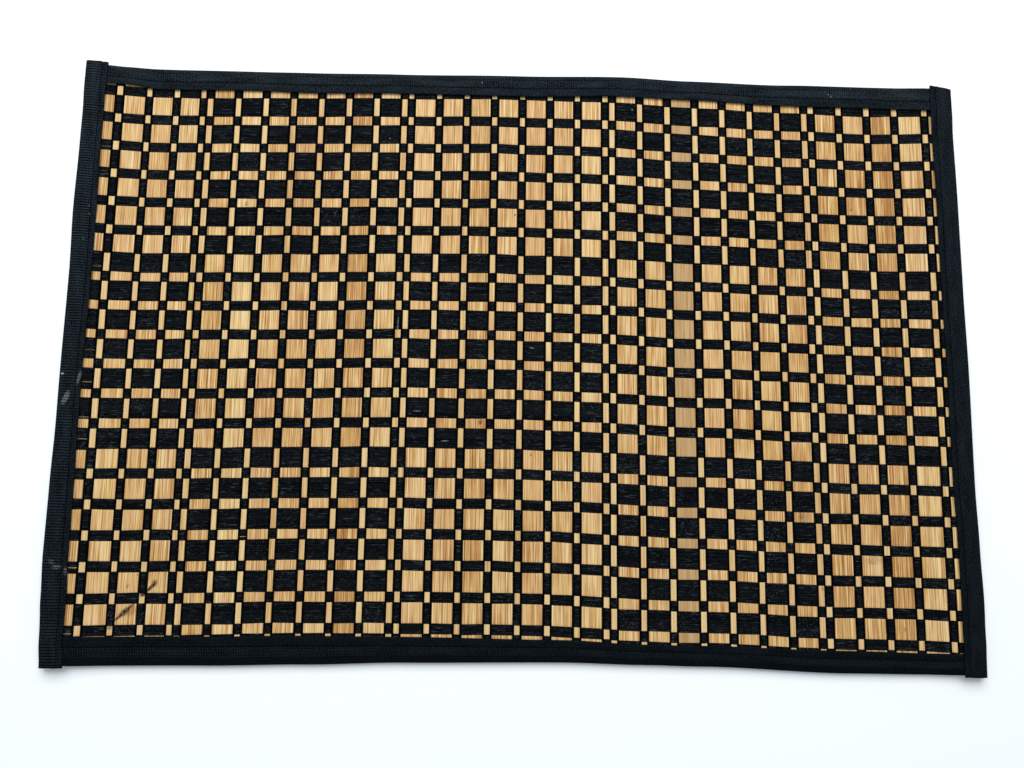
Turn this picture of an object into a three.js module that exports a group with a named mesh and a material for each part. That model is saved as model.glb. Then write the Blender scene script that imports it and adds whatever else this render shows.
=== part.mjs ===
// A bamboo placemat: flat bamboo slats woven with bands of black thread, bound on its four sides with
// black tape. Each tape is folded over its edge, so it has a leaf above and a leaf below the panel. The
// two side tapes are sewn on last, over the ends of the two long ones.
//
// Millimetres. X runs along the long side, Y away from whoever sits at the mat, Z up. The mat lies on
// z = 0 and is centred on its own box.

import * as THREE from "three";

// Driving sizes

const MAT = { width: 452, depth: 297.2 }; // from fold to fold, where an edge runs straight
const TAPE = { thickness: 0.5, foldSteps: 5 };
const PANEL = { thickness: 1.8, edgeInset: 3.0 }; // slat and threads together
const GAP = 0.3; // between pieces that touch
const GROOVE = { width: 0.6, depth: 0.5 }; // between two slats
const LONG_TAPE_END = 3.5; // how far inside a side fold a long tape stops
const SIDE_TAPE_PROUD = 0.5; // how far a side tape runs past the long folds

// Worked-out heights

const TAPE_HEIGHT = PANEL.thickness + 2 * (TAPE.thickness + GAP);
const LAYER = TAPE.thickness + GAP; // what one more leaf of tape adds
const FOLD_RADIUS = TAPE_HEIGHT / 2;
const LEAF = 11; // a leaf's width before its own table changes it

// The long tapes and the panel climb over the lower leaf of each side tape, and the side tapes open
// over the long ones. Each straight ramp gives where it starts and where it is complete.

const CLIMB = { start: 197, end: 211.5 };
const OPENING = { start: 125, end: 134 };

// How the four edges wander. "along" runs along the edge, "stray" is how far the fold lies outside its
// straight line, and "leaf" is how wide the tape's leaf is there.

const EDGES = {
  top: [
    { along: -226, stray: 0.8, leaf: 10.6 },
    { along: -205, stray: -0.5, leaf: 9.9 },
    { along: -188, stray: -1.05, leaf: 11.4 },
    { along: -139, stray: -0.75, leaf: 10.9 },
    { along: -112, stray: -0.5, leaf: 11.4 },
    { along: -66, stray: 0.2, leaf: 11.0 },
    { along: -4, stray: 1.3, leaf: 11.7 },
    { along: 50, stray: 2.5, leaf: 11.2 },
    { along: 86, stray: 1.35, leaf: 10.8 },
    { along: 130, stray: 0.65, leaf: 11.6 },
    { along: 150, stray: 1.0, leaf: 12.2 },
    { along: 176, stray: 1.0, leaf: 11.9 },
    { along: 214, stray: 1.2, leaf: 12.6 },
    { along: 226, stray: -0.5, leaf: 12.4 },
  ],
  bottom: [
    { along: -226, stray: 0.4, leaf: 13.4 },
    { along: -150, stray: -0.2, leaf: 13.6 },
    { along: -104, stray: -1.0, leaf: 13.5 },
    { along: -57, stray: -2.2, leaf: 12.2 },
    { along: 19, stray: -2.8, leaf: 10.7 },
    { along: 60, stray: -1.9, leaf: 9.7 },
    { along: 86, stray: -1.4, leaf: 9.9 },
    { along: 160, stray: 1.3, leaf: 10.7 },
    { along: 200, stray: 1.55, leaf: 10.1 },
    { along: 226, stray: 1.7, leaf: 10.4 },
  ],
  left: [
    { along: -149, stray: -1.9, leaf: 11.4 },
    { along: -137, stray: -1.0, leaf: 11.3 },
    { along: -118, stray: 0.3, leaf: 12.4 },
    { along: -98, stray: 0.95, leaf: 12.4 },
    { along: -65, stray: 0.75, leaf: 12.1 },
    { along: -36, stray: 0.3, leaf: 11.2 },
    { along: -12, stray: 0.4, leaf: 11.2 },
    { along: 40, stray: 0.15, leaf: 11.6 },
    { along: 72, stray: 0.85, leaf: 12.1 },
    { along: 105, stray: 0.4, leaf: 11.1 },
    { along: 128, stray: 0.3, leaf: 11.2 },
    { along: 149, stray: 0.2, leaf: 11.9 },
  ],
  right: [
    { along: -149, stray: 0.1, leaf: 11.7 },
    { along: -114, stray: 1.1, leaf: 11.8 },
    { along: -88, stray: 0.45, leaf: 11.3 },
    { along: -58, stray: -0.2, leaf: 11.6 },
    { along: -2, stray: 0.0, leaf: 11.9 },
    { along: 43, stray: -0.55, leaf: 11.9 },
    { along: 80, stray: -0.7, leaf: 11.8 },
    { along: 149, stray: -1.5, leaf: 12.0 },
  ],
};

// The slats from left to right, block by block: W is a wide slat and n a narrow one, and each takes the
// width that its block gives, groove included. Two narrow slats meet where a block ends.

const SLAT_START = -220.8;
const SLAT_BLOCKS = [
  { order: "WnWnWnWn", wide: 10.55, narrow: 3.45 },
  { order: "nWnWnWnWnWnWnWn", wide: 10.61, narrow: 3.6 },
  { order: "nWnWnWnWnWnWnWn", wide: 10.79, narrow: 3.6 },
  { order: "nWnWnWnWnWnWnWn", wide: 10.86, narrow: 3.65 },
  { order: "nWnWnWnWnW", wide: 11.2, narrow: 3.7 },
];
const ODD_SLATS = { 1: 0.45, 2: 0.55, 6: -0.45, 60: 1.0 }; // how much broader than their block's

// The slats lie straight, but they fan out on the right: how far left the last one has moved, and how
// much further left its far end lies than its near one.

const FAN = { shift: 0.3, spread: 1.7 };

// Steps along each piece

const LONG_TAPE_MIDDLE_STEPS = 18;
const SIDE_TAPE_MIDDLE_STEPS = 12;
const PANEL_STEPS = 6;

// Finishes

const bamboo = { color: 0xd9b27c, roughness: 0.6, metalness: 0 };
const blackTape = { color: 0x1c2127, roughness: 0.85, metalness: 0 };

// An edge's stray and leaf at a place along it, easing from one row of its table to the next.
function edgeAt(name, along) {
  const rows = EDGES[name];
  const next = rows.findIndex((row) => row.along > along);
  if (next <= 0) {
    return next === 0 ? rows[0] : rows[rows.length - 1];
  }
  const before = rows[next - 1];
  const after = rows[next];
  const part = THREE.MathUtils.smoothstep(along, before.along, after.along);
  return {
    stray: THREE.MathUtils.lerp(before.stray, after.stray, part),
    leaf: THREE.MathUtils.lerp(before.leaf, after.leaf, part),
  };
}

// Moves a point of the true rectangle to where it lies on the uneven mat.
function lieUneven(x, y) {
  const right = 0.5 + x / MAT.width;
  const top = 0.5 + y / MAT.depth;
  return {
    x: x + edgeAt("right", y).stray * right - edgeAt("left", y).stray * (1 - right),
    y: y + edgeAt("top", x).stray * top - edgeAt("bottom", x).stray * (1 - top),
  };
}

// Where a point of a slat lies: straight along the slat, and uneven across it.
function lieOnSlat(x, y) {
  const right = 0.5 + x / MAT.width;
  return { x: x - right * (FAN.shift + (FAN.spread * y) / MAT.depth), y: lieUneven(x, y).y };
}

// How far up a ramp a place lies, from 0 at its start to 1 where it is complete.
function upRamp(place, ramp) {
  return THREE.MathUtils.clamp((Math.abs(place) - ramp.start) / (ramp.end - ramp.start), 0, 1);
}

// How far the panel and the long tapes are lifted near the two sides.
function climb(x) {
  return LAYER * upRamp(x, CLIMB);
}

// How far each leaf of a side tape moves apart near its ends.
function opening(y) {
  return LAYER * upRamp(y, OPENING);
}

// Gives every point of a geometry a new place.
function reshape(geometry, place) {
  const positions = geometry.getAttribute("position");
  const point = new THREE.Vector3();
  for (let i = 0; i < positions.count; i += 1) {
    point.fromBufferAttribute(positions, i);
    place(point);
    positions.setXYZ(i, point.x, point.y, point.z);
  }
  geometry.computeVertexNormals();
  return geometry;
}

// The tape's section: x runs in from the fold and y up from the lower leaf.
function foldedSection() {
  const outer = [];
  const inner = [];
  for (let step = 0; step <= TAPE.foldSteps; step += 1) {
    const angle = -Math.PI / 2 - (Math.PI * step) / TAPE.foldSteps;
    const along = new THREE.Vector2(Math.cos(angle), Math.sin(angle));
    const centre = new THREE.Vector2(FOLD_RADIUS, FOLD_RADIUS);
    outer.push(along.clone().multiplyScalar(FOLD_RADIUS).add(centre));
    inner.push(along.clone().multiplyScalar(FOLD_RADIUS - TAPE.thickness).add(centre));
  }
  return new THREE.Shape([
    new THREE.Vector2(LEAF, 0),
    ...outer,
    new THREE.Vector2(LEAF, TAPE_HEIGHT),
    new THREE.Vector2(LEAF, TAPE_HEIGHT - TAPE.thickness),
    ...inner.reverse(),
    new THREE.Vector2(LEAF, TAPE.thickness),
  ]);
}

// Even steps between the two ramps of a tape, with the ends of the ramps and of the tape added.
function tapeStations(end, ramp, middleSteps) {
  const outside = [ramp.start, ramp.end, end];
  const inside = [];
  for (let step = 1; step < middleSteps; step += 1) {
    inside.push(-ramp.start + (2 * ramp.start * step) / middleSteps);
  }
  return [...outside.map((at) => -at).reverse(), ...inside, ...outside];
}

// A folded tape: its section extruded, one step to each station, and then laid along an edge.
function tapeGeometry(stations, edgeName, lay) {
  const steps = stations.length - 1;
  const geometry = new THREE.ExtrudeGeometry(foldedSection(), {
    depth: steps,
    steps,
    bevelEnabled: false,
  });
  return reshape(geometry, (point) => {
    const along = stations[Math.round(point.z)];
    const stretch = (edgeAt(edgeName, along).leaf - FOLD_RADIUS) / (LEAF - FOLD_RADIUS);
    const flat = Math.max(point.x - FOLD_RADIUS, 0);
    const inward = Math.min(point.x, FOLD_RADIUS) + flat * stretch;
    lay(point, along, inward, point.y);
  });
}

// A tape over a long edge; side is 1 for the far edge and -1 for the near one.
function longTape(edgeName, side) {
  const end = MAT.width / 2 - LONG_TAPE_END;
  const stations = tapeStations(end, CLIMB, LONG_TAPE_MIDDLE_STEPS).map((at) => -at * side);
  return tapeGeometry(stations, edgeName, (point, along, inward, height) => {
    const { x, y } = lieUneven(along, side * (MAT.depth / 2 - inward));
    point.set(x, y, height + climb(along));
  });
}

// A tape over a short edge; side is 1 for the right edge and -1 for the left one.
function sideTape(edgeName, side) {
  const end = MAT.depth / 2 + SIDE_TAPE_PROUD;
  const stations = tapeStations(end, OPENING, SIDE_TAPE_MIDDLE_STEPS).map((at) => at * side);
  return tapeGeometry(stations, edgeName, (point, along, inward, height) => {
    const { x, y } = lieUneven(side * (MAT.width / 2 - inward), along);
    const leafSpan = TAPE_HEIGHT - 2 * TAPE.thickness;
    const upper = THREE.MathUtils.clamp((height - TAPE.thickness) / leafSpan, 0, 1);
    point.set(x, y, height + LAYER + opening(along) * (2 * upper - 1));
  });
}

// The panel's columns from left to right: the two shoulders of each slat, and the groove between slats.
function panelColumns() {
  const half = GROOVE.width / 2;
  const columns = [];
  let slat = 0;
  let start = SLAT_START;
  for (const block of SLAT_BLOCKS) {
    for (const letter of block.order) {
      const end = start + (letter === "W" ? block.wide : block.narrow) + (ODD_SLATS[slat] ?? 0);
      columns.push({ x: start, sunk: GROOVE.depth });
      columns.push({ x: start + half, sunk: 0 });
      columns.push({ x: end - half, sunk: 0 });
      slat += 1;
      start = end;
    }
  }
  return columns.slice(1); // the first groove would lie outside the first slat
}

// The woven panel: a block with a row of points to each column, laid between the tapes.
function wovenPanel() {
  const columns = panelColumns();
  const count = columns.length - 1;
  const length = MAT.depth - 2 * PANEL.edgeInset;
  const geometry = new THREE.BoxGeometry(count, length, 2, count, PANEL_STEPS, 1);
  return reshape(geometry, (point) => {
    const column = columns[Math.round(point.x + count / 2)];
    const height = PANEL.thickness / 2 + point.z * (PANEL.thickness / 2 - column.sunk);
    const { x, y } = lieOnSlat(column.x, point.y);
    point.set(x, y, height + TAPE.thickness + GAP + climb(column.x));
  });
}

function named(name, geometry, finish) {
  const mesh = new THREE.Mesh(geometry, new THREE.MeshStandardMaterial(finish));
  mesh.name = name;
  return mesh;
}

const group = new THREE.Group();
group.add(
  named("woven_panel", wovenPanel(), bamboo),
  named("binding_top", longTape("top", 1), blackTape),
  named("binding_bottom", longTape("bottom", -1), blackTape),
  named("binding_left", sideTape("left", -1), blackTape),
  named("binding_right", sideTape("right", 1), blackTape),
);

export default group;
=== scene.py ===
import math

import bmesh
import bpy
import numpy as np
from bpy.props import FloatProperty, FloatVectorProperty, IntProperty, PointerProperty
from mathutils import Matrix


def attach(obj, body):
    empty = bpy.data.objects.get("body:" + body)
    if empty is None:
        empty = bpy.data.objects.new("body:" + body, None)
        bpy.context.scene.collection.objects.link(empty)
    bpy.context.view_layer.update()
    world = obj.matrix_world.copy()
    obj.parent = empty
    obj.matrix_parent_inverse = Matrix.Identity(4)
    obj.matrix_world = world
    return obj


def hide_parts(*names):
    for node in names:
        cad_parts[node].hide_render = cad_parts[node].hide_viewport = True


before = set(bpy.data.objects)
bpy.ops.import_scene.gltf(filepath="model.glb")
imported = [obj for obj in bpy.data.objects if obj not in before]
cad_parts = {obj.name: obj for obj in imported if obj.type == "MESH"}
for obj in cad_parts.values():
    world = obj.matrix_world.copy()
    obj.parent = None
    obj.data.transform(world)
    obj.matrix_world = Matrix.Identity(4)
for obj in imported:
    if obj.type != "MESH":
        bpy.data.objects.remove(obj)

# A woven bamboo placemat. Flat slats run across the mat, bands of black thread pass over one slat and
# under the next, and four black tapes are folded over the edges and stitched down.
#
# Shapes are worked out in millimetres and laid in metres. X runs along the mat, Y away from whoever
# sits at it, and Z up from the table.

bl_info = {
    "name": "Woven bamboo placemat",
    "version": (1, 0, 0),
    "blender": (4, 5, 0),
    "location": "View3D > Sidebar > Placemat",
    "description": "Lays slats, threads, tapes and stitches over a placemat's solids",
    "category": "Object",
}

MM = 0.001
BODY = "root"
SEED = 1729

# The mat, as its solids have it

WIDTH = 452.0  # from fold to fold, where an edge runs straight
DEPTH = 297.2
TAPE_THICKNESS = 0.5
PANEL_THICKNESS = 1.8
PANEL_INSET = 3.0  # from a long tape's fold to the slats' ends
GAP = 0.3  # the room between one layer and the next
LONG_TAPE_END = 3.5  # from a side tape's fold to a long tape's end
SIDE_TAPE_PROUD = 0.5  # how far a side tape runs past the long ones
LAYER = TAPE_THICKNESS + GAP
TAPE_HEIGHT = PANEL_THICKNESS + 2 * LAYER
FOLD_RADIUS = TAPE_HEIGHT / 2
PANEL_MIDDLE = LAYER + PANEL_THICKNESS / 2
CLIMB = (197.0, 211.5)  # where the panel and the long tapes start and stop climbing
OPENING = (125.0, 134.0)  # where the side tapes start and stop opening

# How each edge wanders. The columns are the place along it, how far the fold lies outside its
# straight line, and how wide the tape's leaf is there.

STRAY = 1
LEAF = 2
EDGES = {
    "top": (
        (-226, 0.8, 10.6), (-205, -0.5, 9.9), (-188, -1.05, 11.4), (-139, -0.75, 10.9),
        (-112, -0.5, 11.4), (-66, 0.2, 11.0), (-4, 1.3, 11.7), (50, 2.5, 11.2), (86, 1.35, 10.8),
        (130, 0.65, 11.6), (150, 1.0, 12.2), (176, 1.0, 11.9), (214, 1.2, 12.6), (226, -0.5, 12.4),
    ),
    "bottom": (
        (-226, 0.4, 13.4), (-150, -0.2, 13.6), (-104, -1.0, 13.5), (-57, -2.2, 12.2),
        (19, -2.8, 10.7), (60, -1.9, 9.7), (86, -1.4, 9.9), (160, 1.3, 10.7), (200, 1.55, 10.1),
        (226, 1.7, 10.4),
    ),
    "left": (
        (-149, -1.9, 11.4), (-137, -1.0, 11.3), (-118, 0.3, 12.4), (-98, 0.95, 12.4),
        (-65, 0.75, 12.1), (-36, 0.3, 11.2), (-12, 0.4, 11.2), (40, 0.15, 11.6),
        (72, 0.85, 12.1), (105, 0.4, 11.1), (128, 0.3, 11.2), (149, 0.2, 11.9),
    ),
    "right": (
        (-149, 0.1, 11.7), (-114, 1.1, 11.8), (-88, 0.45, 11.3), (-58, -0.2, 11.6),
        (-2, 0.0, 11.9), (43, -0.55, 11.9), (80, -0.7, 11.8), (149, -1.5, 12.0),
    ),
}
SIDES = {"top": 1, "bottom": -1, "left": -1, "right": 1}
LONG_EDGES = ("top", "bottom")

# The slats from left to right: W is a wide one and n a narrow one, each with its share of the gaps

SLAT_START = -220.8
SLAT_BLOCKS = (
    ("WnWnWnWn", 10.55, 3.45),
    ("nWnWnWnWnWnWnWn", 10.61, 3.6),
    ("nWnWnWnWnWnWnWn", 10.79, 3.6),
    ("nWnWnWnWnWnWnWn", 10.86, 3.65),
    ("nWnWnWnWnW", 11.2, 3.7),
)
ODD_SLATS = {1: 0.45, 2: 0.55, 6: -0.45, 60: 1.0}  # how much broader than their block's

# The slats lie straight, but they fan out on the right: how far left the last one has moved, and how
# much further left its far end lies than its near one

FAN_SHIFT = 0.3
FAN_SPREAD = 1.7

# The bands of thread from the far edge to the near one: T is a tall one and s a short one. Each block
# starts and ends with a tall band, so two of them meet between blocks, as two narrow slats do.

BAND_START = 148.0
BAND_BLOCK = "TsTsTsTsTsTsT"
BAND_BLOCKS = 3
TALL = 9.47
SHORT = 5.21

# How far the bands have slid from their even places, in the far, middle and near part of the mat

DRIFT_REACH = 130.0  # how far the far and near parts lie from the middle one
DRIFT = (
    (-215, -0.4, 0.1, -0.1), (-165, -0.1, 0.9, 0.3), (-110, 1.1, 1.5, 1.0), (-60, 1.8, 1.9, -0.1),
    (-15, 2.2, 1.3, -0.65), (30, 1.3, 0.1, -1.9), (55, 0.6, -0.3, -2.75), (80, 0.3, -0.8, -2.7),
    (130, -0.2, -0.3, -2.5), (175, -1.2, -1.1, -2.35), (215, -0.4, -1.3, -3.1),
)

# How the weave settles

SWAY = 0.08  # how far a slat is pressed down under a band, and up over one
SHOULDER = 0.6  # where a thread has come level, in from a slat's edge
SHOULDER_DROP = 0.06  # how much lower it lies at that edge
TALL_OVER = 10.15  # how far a tall band spreads where it lies over a slat, and under one
TALL_UNDER = 9.3
SHORT_OVER = 5.1
SHORT_UNDER = 4.7


def linear(hex_colour):
    """The linear colour of an sRGB hex value."""
    parts = [int(hex_colour[at:at + 2], 16) / 255 for at in (1, 3, 5)]
    return tuple(p / 12.92 if p <= 0.04045 else ((p + 0.055) / 1.055) ** 2.4 for p in parts)


def length_of(name, description, default_mm):
    return FloatProperty(
        name=name, description=description, default=default_mm * MM, unit="LENGTH", precision=5
    )


def colour_of(name, description, hex_colour):
    return FloatVectorProperty(
        name=name, description=description, default=linear(hex_colour), subtype="COLOR", size=3
    )


class PlacematWeave(bpy.types.PropertyGroup):
    """Sizes of the slats and threads."""

    slat_thickness: length_of("Slat thickness", "How thick a bamboo slat is", 0.9)
    slat_gap: length_of("Slat gap", "Space between two slats, where the threads cross", 0.9)
    slat_bevel: length_of("Slat bevel", "How far a slat's long edges are rounded", 0.18)
    thread_width: length_of("Thread width", "How wide one flattened thread lies", 0.98)
    thread_height: length_of("Thread height", "How thick one flattened thread is", 0.46)
    tall_threads: IntProperty(name="Tall band", description="Threads in a tall band", default=12)
    short_threads: IntProperty(name="Short band", description="Threads in a short band", default=6)


class PlacematTape(bpy.types.PropertyGroup):
    """Sizes of the edge tapes and their stitches."""

    rib_pitch: length_of("Rib pitch", "From one rib of the tape to the next", 1.34)
    twill_pitch: length_of("Twill pitch", "From one slanting rib to the next", 1.15)
    stitch_pitch: length_of("Stitch pitch", "From one stitch to the next", 3.2)
    stitch_length: length_of("Stitch length", "How long one stitch shows", 2.6)
    stitch_thickness: length_of("Stitch thickness", "How thick the sewing thread is", 0.3)


class PlacematFinish(bpy.types.PropertyGroup):
    """Colours of the bamboo, thread and tape."""

    bamboo_deep: colour_of("Deep bamboo", "The darkest fibres", "#8C5729")
    bamboo_warm: colour_of("Warm bamboo", "The browner slats", "#B7834A")
    bamboo_pale: colour_of("Pale bamboo", "Most of the slats", "#D0A86C")
    bamboo_cream: colour_of("Cream bamboo", "The palest fibres", "#E8D09C")
    bamboo_blush: colour_of("Blush", "The pinkish cast of some slats", "#CE9970")
    bamboo_straw: colour_of("Straw", "The yellower fibres", "#CCAA5C")
    bamboo_khaki: colour_of("Greyed bamboo", "The one slat that has weathered", "#A37F56")
    # Painted shade: the near-black colour of the slats' sides, standing for the shade in the gaps between
    # slats
    slat_side_shade: colour_of("Slat sides", "The raw sides between two slats", "#2A1A0C")
    bamboo_knot: colour_of("Knot", "Specks where a leaf grew", "#573719")
    soot: colour_of("Soot", "A rubbed dark mark", "#120C08")
    thread_deep: colour_of("Deep thread", "Thread in its own shade", "#030405")
    thread_lit: colour_of("Lit thread", "The top of a thread", "#191C20")
    thread_lint: colour_of("Thread lint", "Loose fibres that catch the light", "#6C7882")
    tape_deep: colour_of("Deep tape", "Between the tape's ribs", "#04070A")
    tape_lit: colour_of("Lit tape", "On the tape's ribs", "#3B464F")
    dust: colour_of("Dust", "Pale rubbed places and lint", "#A9B0B6")


class PlacematStage(bpy.types.PropertyGroup):
    """The plain floor and its light."""

    floor_colour: colour_of("Floor", "A plain white board", "#FAFCFD")
    sky_colour: colour_of("Sky colour", "The cool light all round", "#EAF7FF")
    key_power: FloatProperty(name="Key", description="Light from beyond", default=25, unit="POWER")
    fill_power: FloatProperty(name="Fill", description="Light from the front", default=1, unit="POWER")
    sky: FloatProperty(name="Sky", description="Strength of the light all round", default=0.45)


def in_mm(length):
    return length / MM


def along_edge(edge, column, along):
    """An edge's stray or leaf at places along it, easing from one row of its table to the next."""
    rows = np.array(EDGES[edge], dtype=float)
    after = np.clip(np.searchsorted(rows[:, 0], along, side="right"), 1, len(rows) - 1)
    before = after - 1
    part = np.clip((along - rows[before, 0]) / (rows[after, 0] - rows[before, 0]), 0, 1)
    part = part * part * (3 - 2 * part)
    return rows[before, column] + (rows[after, column] - rows[before, column]) * part


def lie_uneven(x, y):
    """Moves points of the true rectangle to where they lie on the uneven mat."""
    right = 0.5 + x / WIDTH
    top = 0.5 + y / DEPTH
    new_x = x + along_edge("right", STRAY, y) * right - along_edge("left", STRAY, y) * (1 - right)
    new_y = y + along_edge("top", STRAY, x) * top - along_edge("bottom", STRAY, x) * (1 - top)
    return new_x, new_y


def lie_on_slat(x, y):
    """Moves points of the weave: straight along the slats, and unevenly across them."""
    right = 0.5 + x / WIDTH
    return x - right * (FAN_SHIFT + FAN_SPREAD * y / DEPTH), lie_uneven(x, y)[1]


def up_ramp(place, ramp):
    """How far up a ramp a place lies, from 0 at its start to 1 where it is complete."""
    return np.clip((np.abs(place) - ramp[0]) / (ramp[1] - ramp[0]), 0, 1)


def climb(x):
    return LAYER * up_ramp(x, CLIMB)


def band_drift(x, y):
    """How far the bands have slid towards the far edge, between the places of the drift table."""
    rows = np.array(DRIFT, dtype=float)
    far, middle, near = (np.interp(x, rows[:, 0], rows[:, column]) for column in (1, 2, 3))
    away = np.clip(y / DRIFT_REACH, -1, 1)
    return np.where(away > 0, middle + (far - middle) * away, middle - (near - middle) * away)


def wander(random, lines, places, wavelength, amount):
    """Gentle waves for several lines at the same places: a row for each line, with its own phases."""
    total = np.zeros((lines, len(places)))
    for part in (1.0, 0.57, 0.29):
        phase = random.uniform(0, 2 * math.pi, (lines, 1))
        weight = part * random.uniform(0.4, 1.0, (lines, 1))
        total += weight * np.sin(2 * math.pi * np.asarray(places)[None, :] / (wavelength * part) + phase)
    return amount * total


class Rods:
    """Many straight rods in one mesh, in steps of one, ready to be laid where they belong.

    A rod's x counts its rings, and y and z go round the unit circle. Its UV map counts the same steps.
    """

    def __init__(self, name, count, rings, sides):
        self.sides = sides
        blank = self.make_blank(rings, sides)
        joined = bmesh.new()
        for _ in range(count):
            joined.from_mesh(blank)
        self.mesh = bpy.data.meshes.new(name)
        joined.to_mesh(self.mesh)
        joined.free()
        bpy.data.meshes.remove(blank)

        place = np.empty(len(self.mesh.vertices) * 3)
        self.mesh.vertices.foreach_get("co", place)
        place = place.reshape(-1, 3)
        self.ring = np.rint(place[:, 0]).astype(int)
        turn = np.arctan2(place[:, 2], place[:, 1]) / (2 * math.pi)
        self.side = np.rint(turn * sides).astype(int) % sides
        self.rod = np.repeat(np.arange(count), len(place) // count)

        step = np.empty(len(self.mesh.loops) * 2)
        self.mesh.uv_layers.active.data.foreach_get("uv", step)
        step = step.reshape(-1, 2)
        self.loop_ring = np.rint(step[:, 0] * (rings - 1)).astype(int)
        self.loop_side = np.rint(step[:, 1] * sides).astype(int)
        self.loop_rod = np.repeat(np.arange(count), len(step) // count)

    @staticmethod
    def make_blank(rings, sides):
        rod = bmesh.new()
        rod.loops.layers.uv.new("cloth")
        bmesh.ops.create_grid(rod, x_segments=rings - 1, y_segments=sides, size=1, calc_uvs=True)
        for vert in rod.verts:
            turn = (vert.co.y + 1) * math.pi
            ring = round((vert.co.x + 1) / 2 * (rings - 1))
            vert.co = (ring, math.cos(turn), math.sin(turn))
        bmesh.ops.remove_doubles(rod, verts=rod.verts, dist=1e-4)
        bmesh.ops.holes_fill(rod, edges=rod.edges, sides=0)
        bmesh.ops.recalc_face_normals(rod, faces=rod.faces)
        mesh = bpy.data.meshes.new("blank")
        rod.to_mesh(mesh)
        rod.free()
        return mesh

    def lay(self, x, y, z, along, across, smooth=True):
        """Puts every point at its place in millimetres, and the UV map at along and across."""
        place = np.stack((x, y, z), axis=1) * MM
        self.mesh.vertices.foreach_set("co", place.ravel())
        cloth = np.stack((along, across), axis=1)
        self.mesh.uv_layers.active.data.foreach_set("uv", cloth.ravel())
        self.mesh.polygons.foreach_set("use_smooth", np.full(len(self.mesh.polygons), smooth))
        self.mesh.update()

    def give(self, name, values):
        """Gives every point a value, which the material reads by name."""
        attribute = self.mesh.attributes.new(name, "FLOAT", "POINT")
        attribute.data.foreach_set("value", np.asarray(values, dtype=float))


def add_piece(mesh, material, slot, *replaced):
    """Shows a mesh as a piece that rides on the mat."""
    piece = bpy.data.objects.new(mesh.name, mesh)
    bpy.context.scene.collection.objects.link(piece)
    mesh.materials.append(material)
    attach(piece, BODY)
    if replaced:
        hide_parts(*replaced)
    return piece


def turn_outwards(mesh):
    """Faces that a mirrored place has turned inside out point outwards again."""
    shell = bmesh.new()
    shell.from_mesh(mesh)
    bmesh.ops.recalc_face_normals(shell, faces=shell.faces)
    shell.to_mesh(mesh)
    shell.free()


# The chart of the weave


def slat_chart():
    """Every slat's left and right edge and whether it is a wide one."""
    chart = []
    left = SLAT_START
    for order, wide, narrow in SLAT_BLOCKS:
        for letter in order:
            right = left + (wide if letter == "W" else narrow) + ODD_SLATS.get(len(chart), 0.0)
            chart.append((left, right, letter == "W"))
            left = right
    return chart


def band_chart():
    """Every band's far and near edge and whether it is a tall one."""
    chart = []
    far = BAND_START
    for letter in BAND_BLOCK * BAND_BLOCKS:
        near = far - (TALL if letter == "T" else SHORT)
        chart.append((far, near, letter == "T"))
        far = near
    return chart


def thread_on_top(slat, band):
    return (slat + band) % 2 == 1


# Slats

SLAT_SIDES = 8
SLAT_FACE = 10.0  # on the grain's map, every slat has a face this wide on a strip of its own
SLAT_STRIP = 40.0
SLAT_LEVEL = 0.7  # from a band's edge to where a slat has come level beside it
SLAT_WIDTH_STRAY = 0.06
SLAT_PLACE_STRAY = 0.05
SLAT_BEND = 0.06
SLAT_BEND_LENGTH = 210
SLAT_LEAN = 0.012
NARROW_PALER = 0.38
KHAKI_SLAT = 43


def slat_section(half_thickness, bevel):
    """The eight corners of a bevelled slat: its hand, how far in from the side, and how far up."""
    shoulder = half_thickness - bevel
    hand = (1, 1, 1, -1, -1, -1, -1, 1)
    inset = (0, 0, bevel, bevel, 0, 0, bevel, bevel)
    up = (-shoulder, shoulder, half_thickness, half_thickness,
          shoulder, -shoulder, -half_thickness, -half_thickness)
    return np.array(hand), np.array(inset), np.array(up)


def slat_stations():
    """Places along a slat, from far to near, and the band that each one belongs to."""
    places = []
    bands = []
    for band, (far, near, _) in enumerate(band_chart()):
        places += [far - SLAT_LEVEL, near + SLAT_LEVEL]
        bands += [band, band]
    end = DEPTH / 2 - PANEL_INSET
    places[0] = end
    places[-1] = -end
    return np.array(places), np.array(bands)


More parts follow.
